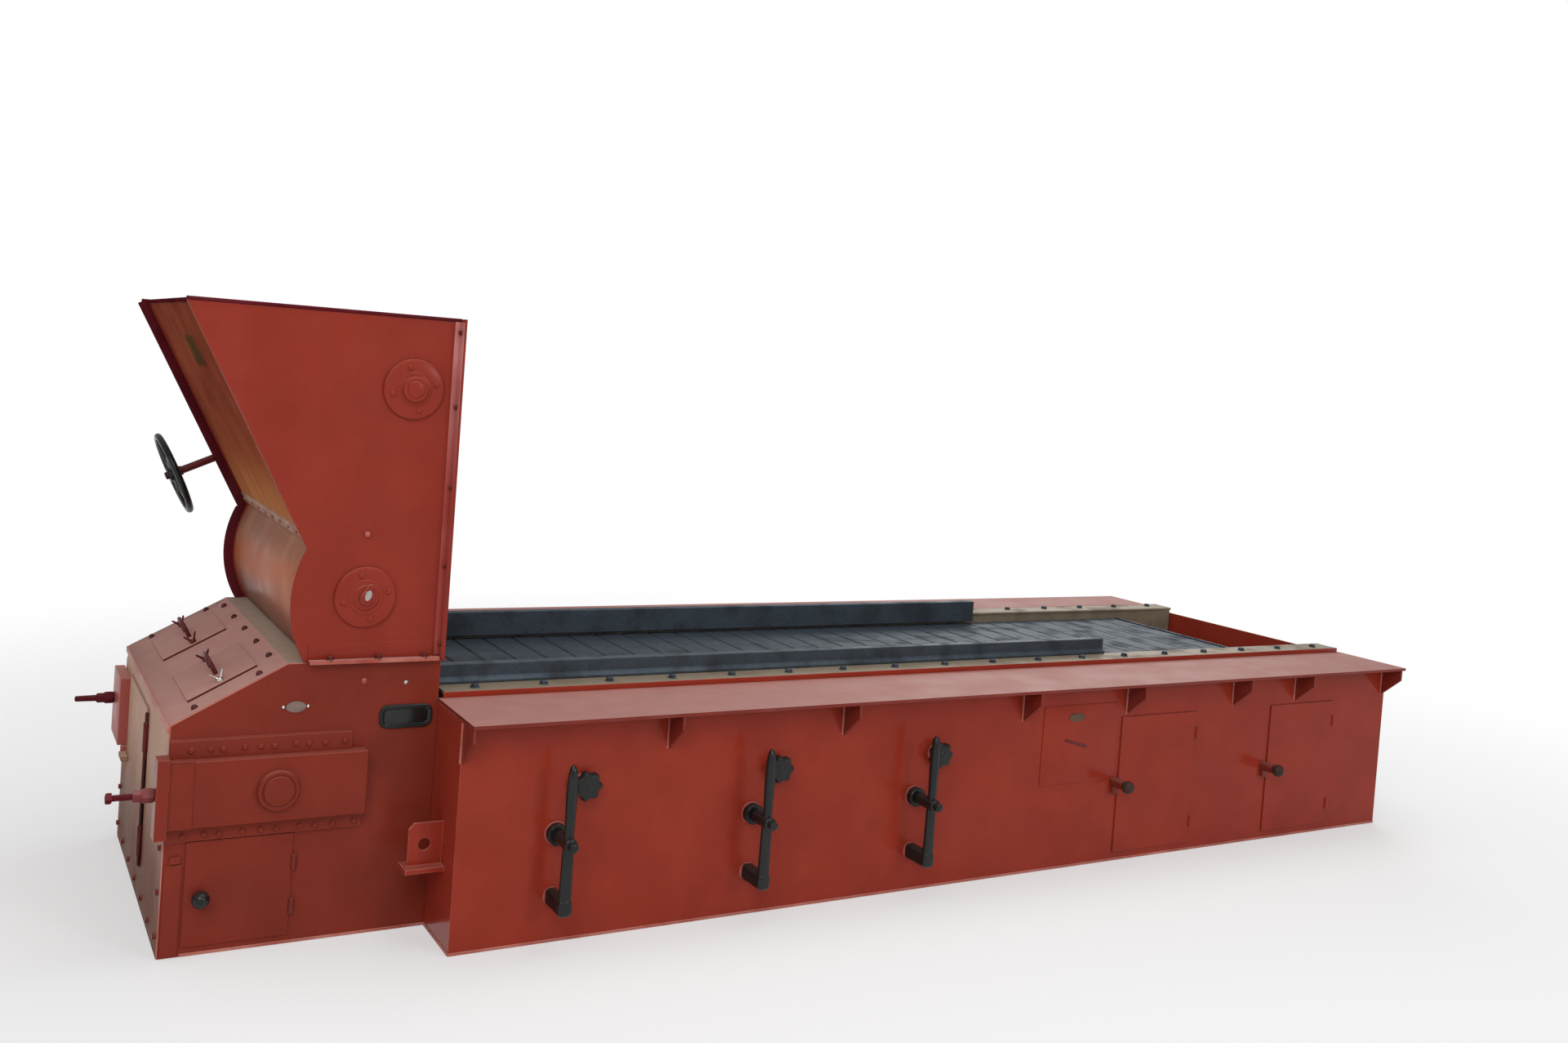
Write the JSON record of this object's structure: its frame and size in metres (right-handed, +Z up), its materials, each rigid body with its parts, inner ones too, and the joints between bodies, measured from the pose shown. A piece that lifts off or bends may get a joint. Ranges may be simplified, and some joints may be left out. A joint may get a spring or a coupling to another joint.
{
  "type": "chain grate stoker",
  "caption": "Chain-grate coal stoker: red plate body with side decks, travelling grate, feed hopper with handwheel-lifted coal gate, air-damper levers and inspection doors.",
  "frame": {"origin": "on the floor under the middle of the base frame, on the centre plane", "axes": "+X along the grate from the hopper end to the rear end, +Y to the handwheel side, +Z up"},
  "size_m": [5.6085, 2.0875, 2.065],
  "materials": {
    "red_paint": "semi-gloss red-oxide paint, dusty on top faces",
    "black_paint": "satin black enamel",
    "cast_iron": "blue-black cast iron",
    "steel": "dull machined steel"
  },
  "bodies": {
    "stoker": {"base_frame": "red_paint", "front_side_plate_near": "red_paint", "front_side_plate_far": "red_paint", "front_end_plate": "red_paint", "front_top_plate": "red_paint", "body_wall_near": "red_paint", "body_wall_far": "red_paint", "rear_end_plate": "red_paint", "deck_near": "red_paint", "deck_far": "red_paint", "grate_frame_near": "steel", "grate_frame_far": "steel", "side_seal_near": "cast_iron", "side_seal_far": "cast_iron", "air_box_frame": "red_paint", "grate_belt_top": "cast_iron", "grate_belt_return": "cast_iron", "takeup_frame_near": "red_paint", "takeup_frame_far": "red_paint", "hopper_side_near": "red_paint", "hopper_side_far": "red_paint", "hopper_front_sheet": "red_paint", "hopper_drum": "red_paint", "hopper_rear_plate": "red_paint", "gate_bearing_near": "red_paint", "arc_gate_bearing_near": "red_paint", "arc_gate_bearing_far": "red_paint", "gate_worm_housing": "red_paint"},
    "takeup": {"takeup_carriage_near": "red_paint", "takeup_carriage_far": "red_paint", "grate_belt_front": "cast_iron"},
    "front_drive": {"front_shaft": "steel", "drive_sprocket_near": "cast_iron", "drive_sprocket_far": "cast_iron"},
    "rear_roll": {"rear_shaft": "steel"},
    "near_screw": {"tension_screw_near": "red_paint"},
    "far_screw": {"tension_screw_far": "red_paint"},
    "gate": {"coal_gate": "cast_iron"},
    "lift": {"gate_lift_shaft": "steel"},
    "wheel": {"handwheel": "black_paint", "handwheel_shaft": "red_paint"},
    "feed_gate": {"arc_gate": "cast_iron", "arc_gate_lever": "steel"},
    "near_hatch": {"hatch_near": "red_paint"},
    "far_hatch": {"hatch_far": "red_paint"},
    "side_leaf": {"side_door": "red_paint"},
    "front_leaf": {"front_door": "red_paint"},
    "rear_leaf_1": {"rear_door_1": "red_paint"},
    "rear_leaf_2": {"rear_door_2": "red_paint"},
    "latch_1": {"rear_door_latch_1": "black_paint"},
    "latch_2": {"rear_door_latch_2": "black_paint"},
    "damper_1": {"damper_lever_1": "black_paint", "damper_shaft_1": "steel"},
    "knob_1": {"damper_knob_1": "black_paint"},
    "damper_2": {"damper_lever_2": "black_paint", "damper_shaft_2": "steel"},
    "knob_2": {"damper_knob_2": "black_paint"},
    "damper_3": {"damper_lever_3": "black_paint", "damper_shaft_3": "steel"},
    "knob_3": {"damper_knob_3": "black_paint"}
  },
  "joints": [
    {"name": "takeup_slide", "type": "slide", "parent": "stoker", "child": "takeup", "axis": [-1, 0, 0], "range_m": [0, 0.02]},
    {"name": "drive_turn", "type": "hinge", "parent": "takeup", "child": "front_drive", "pos_m": [-2.385, 0, 0.523], "axis": [0, 1, 0], "continuous": true},
    {"name": "rear_turn", "type": "hinge", "parent": "stoker", "child": "rear_roll", "pos_m": [2.24, 0, 0.523], "axis": [0, 1, 0], "continuous": true},
    {"name": "near_screw_turn", "type": "hinge", "parent": "stoker", "child": "near_screw", "pos_m": [-2.71, -0.648, 0.53], "axis": [1, 0, 0], "range_deg": [0, 1441]},
    {"name": "far_screw_turn", "type": "hinge", "parent": "stoker", "child": "far_screw", "pos_m": [-2.71, 0.648, 0.53], "axis": [1, 0, 0], "range_deg": [0, 1441]},
    {"name": "gate_slide", "type": "slide", "parent": "stoker", "child": "gate", "axis": [0, 0, 1], "range_m": [-0.0753, 0.0753]},
    {"name": "lift_turn", "type": "hinge", "parent": "stoker", "child": "lift", "pos_m": [-2.024, 0, 1.821], "axis": [0, 1, 0], "range_deg": [-91, 91]},
    {"name": "handwheel_turn", "type": "hinge", "parent": "stoker", "child": "wheel", "pos_m": [-2.57891, 0.678, 1.39887], "axis": [0.91, 0, 0.4147], "range_deg": [-2710, 2710]},
    {"name": "feed_gate_turn", "type": "hinge", "parent": "stoker", "child": "feed_gate", "pos_m": [-2.139, 0, 1.13], "axis": [0, 1, 0], "range_deg": [0, 80]},
    {"name": "near_hatch_hinge", "type": "hinge", "parent": "stoker", "child": "near_hatch", "pos_m": [-2.43796, -0.295, 0.8901], "axis": [0, 1, 0], "range_deg": [0, 70]},
    {"name": "far_hatch_hinge", "type": "hinge", "parent": "stoker", "child": "far_hatch", "pos_m": [-2.43796, 0.333, 0.8901], "axis": [0, 1, 0], "range_deg": [0, 70]},
    {"name": "side_door_hinge", "type": "hinge", "parent": "stoker", "child": "side_leaf", "pos_m": [-2.314, -0.6305, 0.03], "axis": [0, 0, 1], "range_deg": [0, 110]},
    {"name": "front_door_hinge", "type": "hinge", "parent": "stoker", "child": "front_leaf", "pos_m": [-2.7185, -0.126, 0.123], "axis": [0, 0, 1], "range_deg": [0, 110]},
    {"name": "rear_door_1_hinge", "type": "hinge", "parent": "stoker", "child": "rear_leaf_1", "pos_m": [1.449, -0.9115, 0.037], "axis": [0, 0, 1], "range_deg": [0, 110]},
    {"name": "rear_door_2_hinge", "type": "hinge", "parent": "stoker", "child": "rear_leaf_2", "pos_m": [2.344, -0.9115, 0.037], "axis": [0, 0, 1], "range_deg": [0, 110]},
    {"name": "latch_1_turn", "type": "hinge", "parent": "stoker", "child": "latch_1", "pos_m": [0.98, -0.9035, 0.343], "axis": [0, -1, 0], "range_deg": [0, 90]},
    {"name": "latch_2_turn", "type": "hinge", "parent": "stoker", "child": "latch_2", "pos_m": [1.894, -0.9035, 0.343], "axis": [0, -1, 0], "range_deg": [0, 90]},
    {"name": "damper_1_turn", "type": "hinge", "parent": "stoker", "child": "damper_1", "pos_m": [-1.527, 0, 0.373], "axis": [0, -1, 0], "range_deg": [0, 60]},
    {"name": "damper_2_turn", "type": "hinge", "parent": "stoker", "child": "damper_2", "pos_m": [-0.778, 0, 0.373], "axis": [0, -1, 0], "range_deg": [0, 60]},
    {"name": "damper_3_turn", "type": "hinge", "parent": "stoker", "child": "damper_3", "pos_m": [-0.058, 0, 0.373], "axis": [0, -1, 0], "range_deg": [0, 60]},
    {"name": "knob_1_turn", "type": "hinge", "parent": "stoker", "child": "knob_1", "pos_m": [-1.439, -0.903, 0.535], "axis": [0, -1, 0], "range_deg": [0, 360]},
    {"name": "knob_2_turn", "type": "hinge", "parent": "stoker", "child": "knob_2", "pos_m": [-0.69, -0.903, 0.535], "axis": [0, -1, 0], "range_deg": [0, 360]},
    {"name": "knob_3_turn", "type": "hinge", "parent": "stoker", "child": "knob_3", "pos_m": [0.03, -0.903, 0.535], "axis": [0, -1, 0], "range_deg": [0, 360]}
  ],
  "couplings": [
    {"joint": "drive_turn", "follows": "rear_turn", "ratio": 1},
    {"joint": "near_screw_turn", "follows": "takeup_slide", "rad_per_m": 1256.6},
    {"joint": "far_screw_turn", "follows": "takeup_slide", "rad_per_m": 1256.6},
    {"joint": "lift_turn", "follows": "gate_slide", "rad_per_m": -20.833},
    {"joint": "handwheel_turn", "follows": "gate_slide", "rad_per_m": 625}
  ]
}
